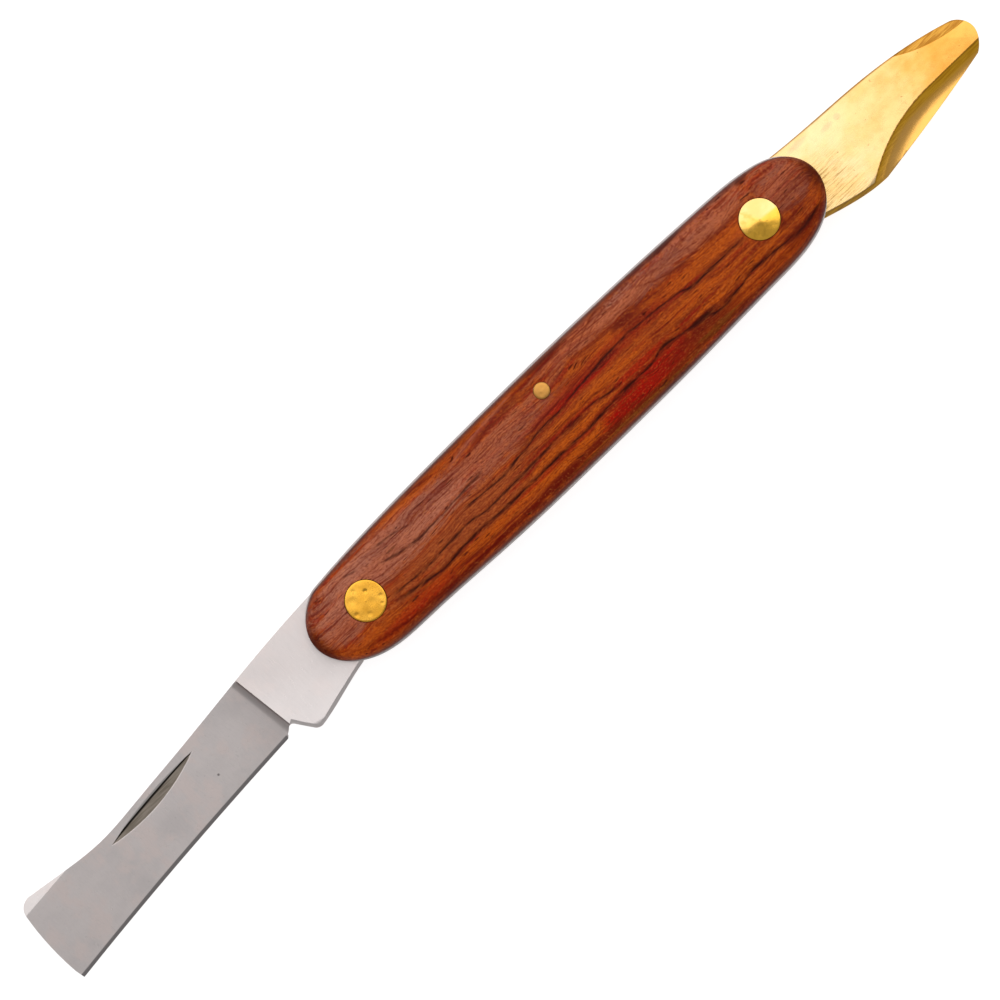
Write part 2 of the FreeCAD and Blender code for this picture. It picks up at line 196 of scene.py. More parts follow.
WOOD_PATCHES = [
    # (centre x, y, half length, half width, colour, strength), in mm
    (-24, -1.9, 18, 3.2, CHESTNUT, 0.7),
    # the mauve patches below are painted sheen, the light's broad reflection on the upper half
    (-34, 3.2, 17, 3.4, MAUVE_SHEEN, 0.62),
    (-41, 4.6, 4.5, 1.3, MAUVE_SHEEN, 0.5),
    (-46.5, 0.2, 4.0, 3.6, MAUVE_SHEEN, 0.5),
    (-14, 3.0, 15, 2.3, MAUVE_SHEEN, 0.38),
    (30, 5.6, 17, 2.0, MAUVE_SHEEN, 0.42),
    (47.5, 1.6, 4.2, 3.8, MAUVE_SHEEN, 0.42),
    (10, 6.4, 10, 1.7, MAUVE_SHEEN, 0.3),
    (-26, 7.0, 8, 0.8, ORANGE, 0.7),
    (-8, 7.4, 10, 0.6, ORANGE, 0.65),
    (-44, -5.6, 8, 1.6, ORANGE, 0.45),
    (-24, -5.7, 14, 0.7, ORANGE, 0.6),
    (-2, -3.75, 9, 0.55, ORANGE, 0.85),
    (-1, -6.0, 11, 0.8, ORANGE, 0.8),
    (6, -1.5, 11, 0.8, ORANGE, 0.75),
    (12, 2.5, 7, 1.2, ORANGE, 0.45),
    (23, 2.5, 4, 0.9, ORANGE, 0.45),
    (10, 1.3, 15, 1.3, RUST, 0.7),
    (13, -4.5, 13, 0.8, RUST, 0.85),
    (31, 1.7, 8, 1.4, ORANGE, 0.85),
    (28, -1.8, 9, 1.1, ORANGE, 0.6),
    (33, -3.9, 10, 0.75, ORANGE, 0.75),
    (38, -6.4, 12, 0.8, ORANGE, 0.5),
    (12, -6.1, 9, 1.8, RED, 1.0),
    (4.5, 0.75, 7, 0.6, RED, 0.85),
    (13.5, -3.1, 6, 0.55, RED, 0.8),
    (-2, -2.2, 9, 0.4, RED, 0.6),
    (-6, -5.2, 10, 0.35, RED, 0.55),
    (-36, -6.0, 10, 1.0, RED, 0.5),
    (22, -6.2, 8, 1.2, WINE, 0.5),
    (47, -5.4, 6, 0.9, WINE, 0.85),
    (15.8, 3.1, 2.2, 0.7, WINE, 0.85),
    (17.5, 2.2, 2.6, 0.6, WINE, 0.6),
    (9.3, 1.0, 3.2, 0.45, WINE, 0.8),
    (25.0, -4.7, 2.6, 0.5, INK, 0.95),
    (-12, -7.5, 26, 0.42, WINE, 0.9),
    (20, -7.6, 22, 0.35, UMBER, 0.8),
    (26, -7.3, 5, 0.55, OLIVE, 0.6),
    (10, -8.1, 14, 0.3, OLIVE, 0.7),
    (3.5, 7.3, 4.5, 0.4, WINE, 0.75),
    (28.5, 7.3, 3.0, 0.35, INK, 0.8),
    # painted sheen: the rose patches lighten the upper middle
    (-8, 4.4, 12, 1.2, ROSE_SHEEN, 0.55),
    (16, 5.2, 9, 1.0, ROSE_SHEEN, 0.5),
    (36, 4.0, 8, 1.0, ROSE_SHEEN, 0.4),
    (43.6, 6.1, 1.2, 0.5, INK, 0.7),
    (47.5, 0.2, 4.5, 1.4, UMBER, 0.35),
    (46, -6.6, 7, 0.9, WINE, 0.4),
    (-35.9, -5.0, 0.7, 0.14, INK, 1.0),
    (-25.7, -5.5, 0.5, 0.12, INK, 1.0),
    (-23.0, -5.0, 0.6, 0.12, INK, 0.9),
    (-47.0, 5.2, 0.5, 0.12, INK, 0.8),
    (-33.5, 2.9, 1.0, 0.16, INK, 0.7),
    (48.5, 1.9, 0.6, 0.14, INK, 0.6),
    (50.2, 0.6, 1.2, 0.2, INK, 0.6),
]

WOOD_LINES = [
    # (points along the line in mm, half width in mm, colour, strength)
    ([(-37, 2.8), (-31.8, 1.54), (-26.8, 1.25), (-22.1, 1.43), (-14.4, 1.8)], 0.2, INK, 0.85),
    ([(-36.3, 4.85), (-31, 4.3), (-27.4, 3.35)], 0.13, INK, 0.75),
    ([(-42, 4.9), (-39, 4.3)], 0.13, INK, 0.8),
    ([(-51, 4.4), (-48, 3.9), (-44, 3.4)], 0.2, WINE, 0.8),
    ([(-50.5, -1.5), (-47, -1.0), (-44.6, -1.2)], 0.18, UMBER, 0.6),
    ([(-27.5, 7.2), (-22, 6.9), (-19.4, 6.3)], 0.16, WINE, 0.85),
    ([(-25, 4.3), (-21.4, 4.5), (-14, 5.1), (-10.6, 5.85), (-5.2, 7.0), (2, 6.9), (7, 7.5)],
     0.34, WINE, 0.6),
    # painted sheen along the upper part of the scale
    ([(-20, 5.5), (-12, 6.6), (-3, 7.4)], 0.25, MAUVE_SHEEN, 0.3),
    ([(-22, -0.5), (-18.3, -0.6), (-13.7, -0.85), (-9, -0.45), (-4.3, 0.2), (0, 0.3),
      (4.7, 0.8), (7.2, 1.15), (10.4, 1.4), (14.4, 1.5), (18, 1.36), (22.3, 0.85),
      (25.2, 0.45), (27.4, -0.2), (30.6, -0.26), (38.3, -0.37)], 0.23, INK, 1.0),
    ([(-7, 0.65), (-1.6, 1.3), (2, 1.35), (6, 1.75), (10, 2.0)], 0.22, WINE, 0.85),
    ([(-9.5, 3.4), (-5, 3.1), (-2, 3.3)], 0.12, UMBER, 0.7),
    ([(-39, -2.2), (-31.8, -2.75), (-26.8, -2.6), (-22.1, -2.4), (-19.6, -2.8),
      (-12.4, -2.8), (-5.2, -2.6), (0, -2.4), (3.6, -2.4), (7.2, -3.1), (10, -3.35)],
     0.24, INK, 0.95),
    ([(-14, -1.9), (-6, -2.0), (2, -1.6), (9, -2.1)], 0.16, WINE, 0.6),
    ([(-39, -3.1), (-37.6, -3.3), (-33.3, -4.2), (-29, -4.75), (-24.6, -4.4), (-19.6, -4.5),
      (-12.4, -4.7), (-5.2, -4.76), (4.7, -4.6), (9, -4.4), (14.4, -4.35), (18, -3.75),
      (20, -4.1), (23, -4.6), (25.2, -4.75), (27.6, -5.6), (32.4, -5.3), (36, -4.8),
      (39.6, -5.05), (44.6, -5.45), (48.6, -4.9), (51.8, -3.6)], 0.3, INK, 1.0),
    ([(-30, -6.2), (-20, -6.7), (-8, -6.9), (4, -7.1), (12, -6.9)], 0.2, WINE, 0.75),
    ([(-47, -5.2), (-40, -6.5), (-30, -7.2), (-18, -7.4)], 0.3, WINE, 0.85),
    ([(6.5, 3.9), (9, 5.6), (12.6, 7.0), (16, 7.4)], 0.16, UMBER, 0.75),
    ([(7.6, 3.9), (10.2, 5.3), (13.4, 6.4), (17, 6.9)], 0.13, UMBER, 0.6),
    ([(5.6, 4.6), (7.4, 6.0), (10.5, 7.2)], 0.14, UMBER, 0.6),
    ([(19.6, 6.5), (23, 4.6), (26.6, 3.5), (31, 3.3), (36.5, 3.7)], 0.18, UMBER, 0.85),
    ([(21, 6.9), (25, 5.2), (28.5, 4.4), (34, 4.6)], 0.12, UMBER, 0.5),
    ([(27, 2.9), (33, 2.7), (38, 3.1)], 0.12, WINE, 0.5),
    ([(42, -3.4), (46, -3.0), (50.4, -2.6)], 0.2, WINE, 0.75),
    ([(44.8, -1.8), (48, -1.9), (50, -1.6)], 0.16, UMBER, 0.7),
    ([(26, -6.6), (33, -6.3), (41, -6.6), (47, -6.4)], 0.22, WINE, 0.6),
]


def colour_patch():
    """A long oval of colour with a ragged border."""
    block = Block("colour_patch", ("X", "Y", "Ragged", "Centre X", "Centre Y", "Half Length",
                                   "Half Width", "Strength", "Under", "Paint"), ("Under",))
    given = block.given
    dx = block.math("SUBTRACT", given["X"], given["Centre X"])
    dy = block.math("SUBTRACT", given["Y"], given["Centre Y"])
    dx = block.math("DIVIDE", dx, given["Half Length"])
    dy = block.math("DIVIDE", dy, given["Half Width"])
    far = block.math("MULTIPLY_ADD", dx, dx, block.math("MULTIPLY", dy, dy))
    inside = block.step(block.math("ADD", far, given["Ragged"]), 1.5, 0.25)
    inside = block.math("MULTIPLY", inside, given["Strength"])
    block.plug(block.result[0], block.mix(inside, given["Under"], given["Paint"]))
    return block


def grain_line():
    """A dark line of grain, which fades at its two ends."""
    block = Block("grain_line", ("X", "Y", "Path", "Low", "Fade Low", "Fade High", "High",
                                 "Half Width", "Strength", "Depth", "Under", "Paint"),
                  ("Under", "Depth"))
    given = block.given
    centre = block.math("MULTIPLY_ADD", given["Path"], 20.0, -10.0)
    off = block.math("DIVIDE", block.math("SUBTRACT", given["Y"], centre), given["Half Width"])
    peak = block.math("DIVIDE", 1.0, block.math("MULTIPLY_ADD", off, off, 1.0))
    peak = block.math("MULTIPLY", peak, peak)
    start = block.step(given["X"], given["Low"], given["Fade Low"])
    end = block.step(given["X"], given["High"], given["Fade High"])
    line = block.math("MULTIPLY", block.math("MULTIPLY", start, end), peak)
    line = block.math("MULTIPLY", line, given["Strength"])
    block.plug(block.result[0], block.mix(line, given["Under"], given["Paint"]))
    block.plug(block.result[1], block.math("MAXIMUM", given["Depth"], line))
    return block


def line_path(s, x, points):
    """The line's height at x, from 0 for y = -10 to 1 for y = 10."""
    low, high = points[0][0], points[-1][0]
    span = high - low
    node = s.add("FloatCurve", {"Value": s.math("MULTIPLY_ADD", x, 1 / span, -low / span)})
    curve = node.mapping.curves[0]
    while len(curve.points) < len(points):
        curve.points.new(0.5, 0.5)
    for point, (px, py) in zip(curve.points, points):
        point.location = ((px - low) / span, (py + 10) / 20)
    node.mapping.update()
    return node.outputs[0]


PATCH = colour_patch()
LINE = grain_line()


def rosewood(name, flip=False):
    """Oiled rosewood: orange-brown, red in patches, with dark lines, fibres and pores, painted
    sheen in mauve and rose patches on the upper half, and painted shade on its rounded edges and
    ends.
    """
    s = Shader(name)
    x, y, z = s.split(s.place())[:3]
    if flip:
        x = s.math("MULTIPLY", x, -1.0)
        z = s.math("MULTIPLY_ADD", z, -1.0, 1000.0 * cad_high.z)
    drift = s.noise(s.join(s.math("MULTIPLY", x, 0.04), s.math("MULTIPLY", y, 0.09), z), 1.0, 2)
    wave = s.noise(s.join(s.math("MULTIPLY", x, 0.16), s.math("MULTIPLY", y, 0.35), z), 1.0, 2)
    flow = s.math("MULTIPLY_ADD", drift, 4.0, y)
    flow = s.math("MULTIPLY_ADD", wave, 1.1, flow)

    def along(stretch, across, seed):
        return s.join(s.math("MULTIPLY_ADD", x, stretch, seed),
                      s.math("MULTIPLY", flow, across), s.math("MULTIPLY", z, across * 0.5))

    broad = s.noise(along(0.05, 0.5, 3.1), 1.0, 3, 0.55)
    bands = s.noise(along(0.07, 1.5, 11.7), 1.0, 3, 0.6)
    veins = s.noise(along(0.07, 2.6, 23.0), 1.0, 4, 0.65)
    fibres = s.noise(along(0.3, 6.5, 5.3), 1.0, 3, 0.65)
    fine = s.noise(along(1.3, 15.0, 1.9), 1.0, 2, 0.6)
    mottle = s.noise(s.join(s.math("MULTIPLY", x, 0.7), s.math("MULTIPLY", y, 1.1), z),
                     1.0, 4, 0.65)

    colour = s.mix(s.step(broad, 0.36, 0.64), UMBER, BROWN)
    colour = s.mix(s.math("MULTIPLY", s.step(bands, 0.48, 0.7), 0.5), colour, RED)
    colour = s.mix(s.math("MULTIPLY", s.step(mottle, 0.46, 0.64), 0.5), colour, ORANGE)
    ragged = s.math("MULTIPLY_ADD", bands, 2.6, -1.3)
    ragged = s.math("ADD", ragged, s.math("MULTIPLY_ADD", fibres, 1.6, -0.8))
    ragged = s.math("ADD", ragged, s.math("MULTIPLY_ADD", mottle, 1.2, -0.6))
    for cx, cy, half_length, half_width, tone, strength in WOOD_PATCHES:
        colour = PATCH.use(s, X=x, Y=y, Ragged=ragged, Centre_X=cx, Centre_Y=cy,
                           Half_Length=half_length, Half_Width=half_width,
                           Strength=strength, Under=colour, Paint=tone)[0]
    colour = s.mix(s.math("MULTIPLY", s.step(veins, 0.53, 0.66), 0.7), colour, WINE)
    colour = s.mix(s.math("MULTIPLY", s.step(fibres, 0.5, 0.68), 0.65), colour, UMBER)
    colour = s.mix(s.math("MULTIPLY", s.step(fibres, 0.46, 0.28), 0.28), colour, TAN)
    colour = s.mix(s.math("MULTIPLY", s.step(fine, 0.5, 0.66), 0.62), colour, WINE)
    grit = s.noise(s.join(s.math("MULTIPLY", x, 2.4), s.math("MULTIPLY", flow, 6.0),
                          s.math("MULTIPLY", z, 3.0)), 1.0, 2, 0.7)
    colour = s.mix(s.math("MULTIPLY", s.step(grit, 0.52, 0.66), 0.62), colour, UMBER)
    colour = s.mix(s.math("MULTIPLY", s.step(grit, 0.45, 0.3), 0.36), colour, TAN)

    wander = s.math("MULTIPLY_ADD", wave, 0.5, s.math("MULTIPLY_ADD", fibres, 0.5, -0.5))
    line_y = s.math("ADD", y, wander)
    broken = s.step(s.noise(along(0.4, 2.2, 40.0), 1.0, 3, 0.65), 0.34, 0.56)
    broken = s.math("MULTIPLY_ADD", broken, 0.55, 0.45)
    swell = s.noise(along(0.25, 0.8, 61.0), 1.0, 2, 0.6)
    swell = s.math("MULTIPLY_ADD", s.step(swell, 0.36, 0.64), 1.1, 0.75)
    depth = 0.0
    for points, half_width, tone, strength in WOOD_LINES:
        low, high = points[0][0], points[-1][0]
        fade = min(2.5, (high - low) / 3)
        colour, depth = LINE.use(
            s, X=x, Y=line_y, Path=line_path(s, x, points), Low=low, Fade_Low=low + fade,
            Fade_High=high - fade, High=high,
            Half_Width=s.math("MULTIPLY", swell, half_width),
            Strength=s.math("MULTIPLY", broken, strength), Depth=depth,
            Under=colour, Paint=tone)

    pore_noise = s.noise(s.join(s.math("MULTIPLY", x, 0.5), s.math("MULTIPLY", flow, 3.6),
                                s.math("MULTIPLY", z, 2.0)), 1.0, 0)
    pores = s.step(pore_noise, 0.755, 0.8)
    colour = s.mix(s.math("MULTIPLY", pores, 0.75), colour, INK)
    # painted shade: ink darkens the rounded top edge and the rounded ends, where the surface turns
    # away from the light
    rim = s.step(s.math("MULTIPLY_ADD", bands, 1.2, z), 12.9, 11.7)
    ends = s.math("ABSOLUTE", s.math("MULTIPLY_ADD", x, 1.0, -0.5))
    ends = s.step(s.math("MULTIPLY_ADD", bands, 2.0, ends), 50.8, 53.2)
    rim = s.math("MAXIMUM", rim, ends)
    colour = s.mix(s.math("MULTIPLY", rim, 0.75), colour, INK)
    s.set(Base_Color=colour, Specular_IOR_Level=0.06)
    rough = s.math("MULTIPLY_ADD", fibres, 0.14, 0.33)
    s.set(Roughness=s.math("MULTIPLY_ADD", pores, 0.25, rough))
    height = s.math("MULTIPLY_ADD", fine, 0.3, s.math("MULTIPLY", fibres, 0.5))
    height = s.math("SUBTRACT", height, s.math("MULTIPLY_ADD", pores, 1.4,
                                               s.math("MULTIPLY", depth, 0.7)))
    s.bump(height, 0.3, 0.04)
    return s.material


# ---------------------------------------------------------------- metals
def steel_look(s, tint, roughness, turn=0.0, brush=0.12):
    """Ground steel's colour: fine lines across the piece, faint stains and tiny scratches."""
    lines = s.noise(s.place(scale=(11.0, 0.4, 4.0), turn=turn), 1.0, 3, 0.7)
    cloud = s.noise(s.place(scale=(0.12, 0.16, 0.2)), 1.0, 3, 0.6)
    stain = s.noise(s.place(scale=(0.3, 0.22, 0.4), shift=(9, 4, 1)), 1.0, 3, 0.6)
    speck = s.noise(s.place(scale=(2.2, 2.2, 2.2)), 1.0, 1)
    cool = (0.9 * tint[0], 0.905 * tint[1], 0.91 * tint[2], 1)
    warm = (1.04 * tint[0], 0.985 * tint[1], 0.965 * tint[2], 1)
    shade = s.mix(s.step(cloud, 0.35, 0.7), tint, cool)
    shade = s.mix(s.math("MULTIPLY", s.step(stain, 0.45, 0.65), 0.8), shade, warm)
    shade = s.mix(s.math("MULTIPLY", s.step(lines, 0.45, 0.7), brush), shade, (0.2, 0.17, 0.17, 1))
    shade = s.mix(s.math("MULTIPLY", s.step(speck, 0.74, 0.8), 0.2), shade, (0.12, 0.1, 0.1, 1))
    s.set(Metallic=1.0)
    s.set(Roughness=s.math("MULTIPLY_ADD", lines, 0.16, roughness - 0.08))
    s.bump(lines, 0.08, 0.02)
    return shade


def steel(name, tint, roughness, turn=0.0, brush=0.12):
    s = Shader(name)
    s.set(Base_Color=steel_look(s, tint, roughness, turn, brush))
    return s.material


EDGE_HEEL = (-64.85, -6.86)
EDGE_INWARD = (-0.0938, 0.9956)
EDGE_FACE_Z = 5.25
FACE_RISE = 0.094
EDGE_DROP = 5.0
EDGE_LINE = [(-112.5, -11.35), (-96.0, -9.44), (-80.5, -8.02), EDGE_HEEL]
PLUNGE_TOP = (-64.4, 5.6)
PLUNGE_SLANT = 0.1295
# the nail nick: its two dark tones and its near-black crease tone, all painted shade, then its
# middle, half length and slope
NICK_SHADE_TONES = [(0.09, 0.075, 0.06, 1), (0.15, 0.128, 0.107, 1), (0.012, 0.009, 0.007, 1)]
NICK_MIDDLE_X = -86.1
NICK_CREASE_HALF = 9.5
NICK_CREASE_SLOPE = 0.092
NICK_CREASE_RISE = 9.06
PIT = (-76.3, -3.4)


def blade_finish():
    """The blade's satin steel, with painted shade in the nail nick, along the cutting-edge bevel
    and left of the plunge, and a painted highlight on the tip facet.
    """
    s = Shader("blade_satin_steel")
    x, y, z = s.split(s.place())[:3]
    ground = steel_look(s, (0.74, 0.675, 0.66, 1), 0.3, turn=0.09, brush=0.1)
    plunge = s.math("MULTIPLY_ADD", y, -PLUNGE_SLANT, PLUNGE_TOP[0] + PLUNGE_SLANT * PLUNGE_TOP[1])
    before = s.math("SUBTRACT", plunge, x)
    # the ricasso is painted darker towards its upper right
    ricasso = s.mix(s.step(s.math("ADD", s.math("MULTIPLY", x, 0.6), y), -43.0, -32.0),
                    (0.72, 0.67, 0.66, 1), (0.55, 0.5, 0.49, 1))
    shade = s.mix(s.step(before, -0.05, 0.05), s.mix(0.6, ground, ricasso), ground)
    front = s.step(z, 5.0, 5.2)
    # painted shade left of the plunge: a dark band in its hollow, then a wider, fainter fall-off
    # across the ground face
    hollow = s.math("MULTIPLY", s.step(before, -0.02, 0.02), s.step(before, 1.9, 0.0))
    hollow = s.math("MULTIPLY", hollow, front)
    shade = s.mix(s.math("MULTIPLY", hollow, 0.6), shade, (0.3, 0.26, 0.255, 1))
    wide = s.math("MULTIPLY", s.step(before, 0.0, 0.1), s.step(before, 7.0, 0.5))
    wide = s.math("MULTIPLY", wide, front)
    shade = s.mix(s.math("MULTIPLY", wide, 0.22), shade, (0.42, 0.36, 0.35, 1))

    inward = s.math("MULTIPLY_ADD", x, EDGE_INWARD[0], -EDGE_INWARD[0] * EDGE_HEEL[0])
    inward = s.math("ADD", inward, s.math("MULTIPLY_ADD", y, EDGE_INWARD[1],
                                          -EDGE_INWARD[1] * EDGE_HEEL[1]))
    below = s.math("SUBTRACT", s.math("MULTIPLY_ADD", inward, FACE_RISE, EDGE_FACE_Z), z)
    # painted highlight: the flat facet near the tip is made lighter
    tip_facet_highlight = s.math("MULTIPLY", s.step(inward, 11.8, 13.4), s.step(x, -97.0, -98.0))
    shade = s.mix(s.math("MULTIPLY", tip_facet_highlight, 0.3), shade, (0.86, 0.82, 0.81, 1))
    beyond = s.math("MULTIPLY", s.step(x, -74.5, -75.0), s.step(x, -97.0, -96.6))
    nick = s.math("MULTIPLY", s.step(below, 0.006, 0.02), s.step(y, -2.2, -2.0))
    nick = s.math("MULTIPLY", nick, s.math("MULTIPLY", beyond, s.step(z, 5.2, 5.4)))
    # painted shade in the nail nick: two dark steel tones streaked by the grinding, and a lighter
    # tone on the steep wall
    streak = s.noise(s.place(scale=(0.25, 4.5, 1.0), turn=-0.1), 1.0, 3, 0.6)
    nick_shade = s.mix(s.step(streak, 0.35, 0.65), NICK_SHADE_TONES[0], NICK_SHADE_TONES[1])
    along = s.math("MULTIPLY_ADD", x, 1 / NICK_CREASE_HALF, -NICK_MIDDLE_X / NICK_CREASE_HALF)
    arch = s.math("MULTIPLY_ADD", s.math("MULTIPLY", along, along), -0.2, 0.2)
    crease_line = s.math("MULTIPLY_ADD", x, NICK_CREASE_SLOPE, NICK_CREASE_RISE)
    deepest = s.math("ADD", crease_line, arch)
    above = s.math("SUBTRACT", y, deepest)
    nick = s.math("MULTIPLY", nick, s.step(above, 0.95, 0.85))
    wall = s.math("MULTIPLY", s.step(above, 0.0, 0.12), s.step(x, -95.0, -89.0))
    nick_shade = s.mix(wall, nick_shade, (0.62, 0.58, 0.56, 1))
    # painted shade: a near-black line along the nick's deepest crease
    crease = s.step(s.math("ABSOLUTE", above), 0.19, 0.04)
    nick_shade = s.mix(crease, nick_shade, NICK_SHADE_TONES[2])
    shade = s.mix(nick, shade, nick_shade)

    # painted shade: the narrow cutting-edge bevel is darkened to a dark grey
    edge_y = s.math("MULTIPLY_ADD", line_path(s, x, [(px, py + EDGE_DROP) for px, py in EDGE_LINE]),
                    20.0, -10.0 - EDGE_DROP)
    bevel = s.step(s.math("SUBTRACT", y, edge_y), 0.64, 0.54)
    bevel = s.math("MULTIPLY", bevel, s.step(z, 4.955, 4.975))
    bevel = s.math("MULTIPLY", bevel, s.step(x, -64.6, -64.8))
    shade = s.mix(s.math("MULTIPLY", bevel, 0.92), shade, (0.27, 0.25, 0.25, 1))
    dot_x = s.math("ADD", x, -PIT[0])
    dot_y = s.math("ADD", y, -PIT[1])
    far = s.math("MULTIPLY_ADD", dot_x, dot_x, s.math("MULTIPLY", dot_y, dot_y))
    shade = s.mix(s.math("MULTIPLY", s.step(far, 0.06, 0.01), 0.8), shade, (0.1, 0.08, 0.08, 1))
    s.set(Base_Color=shade)
    return s.material


def brass_look(s, tint, deep, roughness, turn=0.0, lined=0.3, pitted=0.5):
    """Polished brass, warmer in clouds, with drawn lines, smears and small pits."""
    lines = s.noise(s.place(scale=(0.35, 7.0, 3.0), turn=turn), 1.0, 3, 0.7)
    cloud = s.noise(s.place(scale=(0.16, 0.2, 0.25)), 1.0, 3, 0.6)
    smear = s.noise(s.place(scale=(0.7, 0.9, 0.9)), 1.0, 2, 0.6)
    pits = s.step(s.noise(s.place(scale=(1.6, 1.6, 1.6)), 1.0, 1), 0.72, 0.79)
    shade = s.mix(s.step(cloud, 0.35, 0.68), tint, deep)
    shade = s.mix(s.math("MULTIPLY", s.step(lines, 0.48, 0.72), lined), shade, deep)
    shade = s.mix(s.math("MULTIPLY", s.step(smear, 0.55, 0.75), 0.3), shade, deep)
    shade = s.mix(s.math("MULTIPLY", pits, pitted), shade, (0.1, 0.055, 0.015, 1))
    s.set(Metallic=1.0)
    s.set(Roughness=s.math("MULTIPLY_ADD", smear, 0.14, roughness - 0.05))
    s.bump(s.math("SUBTRACT", lines, s.math("MULTIPLY", pits, 2.0)), 0.12, 0.02)
    return shade


def brass(name, tint, deep, roughness, turn=0.0):
    s = Shader(name)
    s.set(Base_Color=brass_look(s, tint, deep, roughness, turn))
    return s.material


def lifter_rivet_finish():
    """Pale brass with a high polish, a painted highlight wedge towards the spine and the tip, and
    painted shade over the rest of the head.
    """
    s = Shader("pale_rivet_brass")
    x, y = s.split(s.place())[:2]
    shade = brass_look(s, (0.95, 0.62, 0.28, 1), (0.88, 0.52, 0.18, 1), 0.14)
    dx = s.math("ADD", x, -PIVOTS[1][0])
    over = s.math("MULTIPLY_ADD", dx, 0.087, s.math("MULTIPLY", y, 0.996))
    beside = s.math("MULTIPLY_ADD", dx, 0.94, s.math("MULTIPLY", y, 0.342))
    # painted highlight: the wedge of the head towards the spine and the tip
    highlight_wedge = s.math("MULTIPLY", s.step(over, -0.35, 0.25), s.step(beside, -0.5, 0.4))
    mottle = s.noise(s.place(scale=(0.9, 0.9, 0.9)), 1.0, 2, 0.6)
    # painted shade over the rest of the head, deeper away from the spine, and mottled
    shaded_side = s.mix(s.step(over, -1.2, 2.4), (0.9, 0.5, 0.06, 1), (0.88, 0.56, 0.2, 1))
    shaded_side = s.mix(s.math("MULTIPLY", s.step(mottle, 0.45, 0.65), 0.5), shaded_side, (0.62, 0.34, 0.04, 1))
    s.set(Base_Color=s.mix(highlight_wedge, shaded_side, shade))
    return s.material


LIFTER_TOP_EDGE = [(47, 5.93), (57, 5.11), (68, 4.46), (75.3, 3.51), (83.6, 1.55), (85.6, 0)]


def lifter_finish():
    """The lifter's brass: pale near the handle, golden at the tip, with painted shade in its
    hollows and along their borders.
    """
    s = Shader("lifter_polished_brass")
    x, y, z = s.split(s.place())[:3]
    drift = s.noise(s.place(scale=(0.1, 0.14, 0.2), shift=(3, 8, 2)), 1.0, 3, 0.6)
    toward_tip = s.math("MULTIPLY_ADD", drift, 14.0, s.math("ADD", x, -7.0))
    tint = s.mix(s.step(toward_tip, 56, 70), (0.9, 0.645, 0.335, 1), (0.9, 0.58, 0.23, 1))
    tint = s.mix(s.step(toward_tip, 69, 81), tint, (0.85, 0.42, 0.09, 1))
    deep = s.mix(s.step(toward_tip, 60, 80), (0.86, 0.56, 0.22, 1), (0.76, 0.33, 0.055, 1))
    shade = brass_look(s, tint, deep, 0.24, lined=0.25, pitted=0.35)
    below = s.math("SUBTRACT", (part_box("bark_lifter")[1].z / MM), z)
    hollow = s.math("MULTIPLY", s.step(below, 0.015, 0.07), s.step(z, 6.7, 6.85))
    deepness = s.step(below, 0.1, 0.6)
    low_side = s.step(y, -1.5, -2.2)
    # painted shade in the scoop, streaked by the grinding, and lighter near the lower edge where it
    # is deepest
    scoop = s.math("MULTIPLY", hollow, low_side)
    streaks = s.noise(s.place(scale=(0.3, 5.0, 1.0), turn=-0.12), 1.0, 3, 0.65)
    scoop_shade = s.mix(s.step(streaks, 0.4, 0.66), (0.84, 0.43, 0.025, 1), (0.62, 0.28, 0.01, 1))
    scoop_shade = s.mix(s.math("MULTIPLY", deepness, s.step(y, -4.2, -5.4)), scoop_shade,
                       (0.82, 0.44, 0.105, 1))
    shade = s.mix(s.math("MULTIPLY", scoop, 0.95), shade, scoop_shade)
    # painted shade on the tip bevel, streaked by the grinding
    tip = s.math("MULTIPLY", hollow, s.math("MULTIPLY", s.step(y, -0.6, 0.0), s.step(x, 73, 74)))
    shade = s.mix(tip, shade, s.mix(s.step(streaks, 0.42, 0.62), (0.54, 0.27, 0.045, 1),
                                    (0.34, 0.14, 0.02, 1)))
    # painted shade: a dark line where the top face rolls into the hollows
    border = s.math("MULTIPLY", s.step(below, 0.01, 0.04), s.step(below, 0.16, 0.07))
    shade = s.mix(s.math("MULTIPLY", border, 0.55), shade, (0.3, 0.13, 0.01, 1))
    edge = s.math("MULTIPLY_ADD", line_path(s, x, LIFTER_TOP_EDGE), 20.0, -10.0)
    edge = s.step(s.math("SUBTRACT", y, edge), -0.36, -0.12)
    edge = s.math("MULTIPLY", edge, s.math("MULTIPLY_ADD", drift, 0.9, 0.35))
    shade = s.mix(edge, shade, (0.22, 0.09, 0.01, 1))
    scored = s.noise(s.place(scale=(0.24, 6.5, 1.0), turn=0.06, shift=(0, 3, 0)), 1.0, 4, 0.75)
    near_handle = s.math("MULTIPLY", s.step(x, 61, 53), s.step(y, 2.5, -2.0))
    scored = s.math("MULTIPLY", s.step(scored, 0.49, 0.6), near_handle)
    shade = s.mix(s.math("MULTIPLY", near_handle, 0.16), shade, (0.6, 0.38, 0.14, 1))
    shade = s.mix(s.math("MULTIPLY", scored, 0.85), shade, (0.36, 0.21, 0.06, 1))
    for cx, cy, half_length, half_width in ((58.9, 3.0, 1.2, 0.45), (61.1, 3.1, 0.6, 0.5),
                                            (53.8, 4.2, 2.0, 0.5)):
        shade = PATCH.use(s, X=x, Y=y, Ragged=s.math("ADD", streaks, -0.5), Centre_X=cx,
                          Centre_Y=cy, Half_Length=half_length, Half_Width=half_width,
                          Strength=0.4, Under=shade, Paint=(0.72, 0.44, 0.26, 1))[0]
    s.set(Base_Color=shade)
    return s.material


def paint(obj, material):
    if not obj.material_slots:
        obj.data.materials.append(material)
    for slot in obj.material_slots:
        slot.link = "OBJECT"
        slot.material = material


